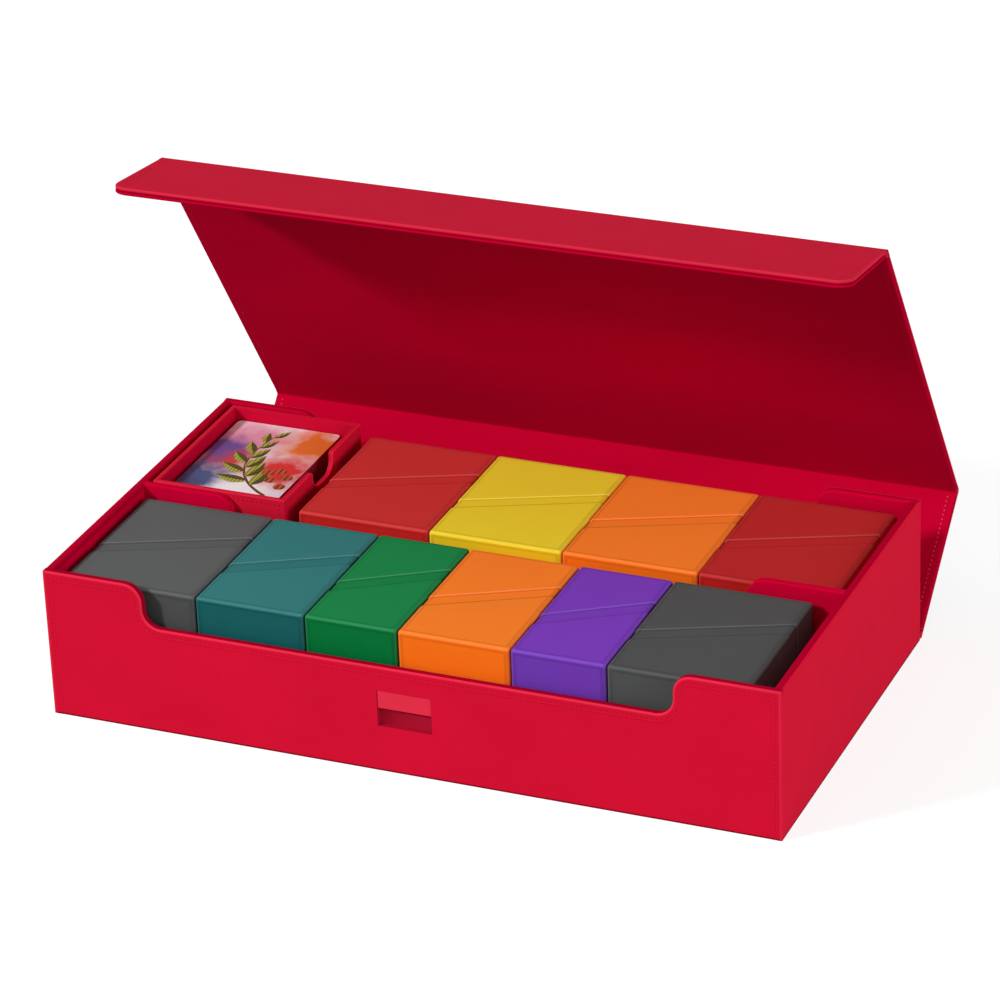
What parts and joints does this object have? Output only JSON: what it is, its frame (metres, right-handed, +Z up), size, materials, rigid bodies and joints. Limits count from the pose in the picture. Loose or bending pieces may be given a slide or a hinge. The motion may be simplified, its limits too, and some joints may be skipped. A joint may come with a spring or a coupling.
{
  "type": "card storage box",
  "caption": "Leatherette card storage box with a fold-over cover, two bays of lift-out card cases in frosted plastic and a lift-out card tray.",
  "frame": {"origin": "centre of the tray's underside, on the table", "axes": "+X to the right along the box's length, -Y to the open front, +Z up"},
  "size_m": [0.41, 0.2928, 0.2606],
  "materials": {
    "leatherette": "matte",
    "microfibre": "matte",
    "label": "satin",
    "magnet": "satin",
    "card_sleeves": "matte",
    "card_face": "satin",
    "deck": "matte",
    "case_grey": "satin",
    "case_teal": "satin",
    "case_green": "satin",
    "case_orange": "satin",
    "case_purple": "satin",
    "case_red": "satin",
    "case_yellow": "satin"
  },
  "bodies": {
    "tray": {"base_board": "leatherette", "front_wall": "leatherette", "back_wall": "leatherette", "left_wall": "leatherette", "right_wall": "leatherette", "row_divider": "leatherette", "front_bay_lining": "microfibre", "rear_bay_lining": "microfibre", "label_plate": "label", "wall_magnets": "magnet", "rear_fold": "leatherette"},
    "spine": {"spine_panel": "leatherette", "spine_lining": "microfibre", "lid_fold": "leatherette"},
    "lid": {"lid_panel": "leatherette", "lid_lining": "microfibre", "flap_fold": "leatherette"},
    "flap": {"flap_panel": "leatherette", "flap_lining": "microfibre", "flap_magnets": "magnet"},
    "card_tray": {"card_tray_floor": "leatherette", "card_tray_front": "leatherette", "card_tray_back": "leatherette", "card_tray_left": "leatherette", "card_tray_right": "leatherette"},
    "cards": {"card_stack": "card_sleeves", "top_card": "card_face"},
    "front_case_1": {"front_case_1_base": "case_grey", "front_case_1_lid": "case_grey", "front_case_1_cards": "deck"},
    "front_case_2": {"front_case_2_base": "case_teal", "front_case_2_lid": "case_teal", "front_case_2_cards": "deck"},
    "front_case_3": {"front_case_3_base": "case_green", "front_case_3_lid": "case_green", "front_case_3_cards": "deck"},
    "front_case_4": {"front_case_4_base": "case_orange", "front_case_4_lid": "case_orange", "front_case_4_cards": "deck"},
    "front_case_5": {"front_case_5_base": "case_purple", "front_case_5_lid": "case_purple", "front_case_5_cards": "deck"},
    "front_case_6": {"front_case_6_base": "case_grey", "front_case_6_lid": "case_grey", "front_case_6_cards": "deck"},
    "rear_case_1": {"rear_case_1_base": "case_red", "rear_case_1_lid": "case_red", "rear_case_1_cards": "deck"},
    "rear_case_2": {"rear_case_2_base": "case_yellow", "rear_case_2_lid": "case_yellow", "rear_case_2_cards": "deck"},
    "rear_case_3": {"rear_case_3_base": "case_orange", "rear_case_3_lid": "case_orange", "rear_case_3_cards": "deck"},
    "rear_case_4": {"rear_case_4_base": "case_red", "rear_case_4_lid": "case_red", "rear_case_4_cards": "deck"}
  },
  "joints": [
    {"name": "spine_hinge", "type": "hinge", "parent": "tray", "child": "spine", "pos_m": [0, 0.1146, 0.002], "axis": [-1, 0, 0], "range_deg": [-48.5, 41.5]},
    {"name": "lid_hinge", "type": "hinge", "parent": "spine", "child": "lid", "pos_m": [0, 0.17856, 0.05859], "axis": [-1, 0, 0], "range_deg": [-8.8, 81.2]},
    {"name": "flap_hinge", "type": "hinge", "parent": "lid", "child": "flap", "pos_m": [0, 0.05474, 0.25146], "axis": [-1, 0, 0], "range_deg": [-39.5, 50.5]},
    {"name": "card_tray_lift", "type": "slide", "parent": "tray", "child": "card_tray", "axis": [0, 0, 1], "range_m": [0, 0.082]},
    {"name": "cards_lift", "type": "slide", "parent": "card_tray", "child": "cards", "axis": [0, 0, 1], "range_m": [0, 0.08]},
    {"name": "front_case_1_lift", "type": "slide", "parent": "tray", "child": "front_case_1", "axis": [0, 0, 1], "range_m": [0, 0.082]},
    {"name": "front_case_2_lift", "type": "slide", "parent": "tray", "child": "front_case_2", "axis": [0, 0, 1], "range_m": [0, 0.082]},
    {"name": "front_case_3_lift", "type": "slide", "parent": "tray", "child": "front_case_3", "axis": [0, 0, 1], "range_m": [0, 0.082]},
    {"name": "front_case_4_lift", "type": "slide", "parent": "tray", "child": "front_case_4", "axis": [0, 0, 1], "range_m": [0, 0.082]},
    {"name": "front_case_5_lift", "type": "slide", "parent": "tray", "child": "front_case_5", "axis": [0, 0, 1], "range_m": [0, 0.082]},
    {"name": "front_case_6_lift", "type": "slide", "parent": "tray", "child": "front_case_6", "axis": [0, 0, 1], "range_m": [0, 0.082]},
    {"name": "rear_case_1_lift", "type": "slide", "parent": "tray", "child": "rear_case_1", "axis": [0, 0, 1], "range_m": [0, 0.082]},
    {"name": "rear_case_2_lift", "type": "slide", "parent": "tray", "child": "rear_case_2", "axis": [0, 0, 1], "range_m": [0, 0.082]},
    {"name": "rear_case_3_lift", "type": "slide", "parent": "tray", "child": "rear_case_3", "axis": [0, 0, 1], "range_m": [0, 0.082]},
    {"name": "rear_case_4_lift", "type": "slide", "parent": "tray", "child": "rear_case_4", "axis": [0, 0, 1], "range_m": [0, 0.082]}
  ]
}
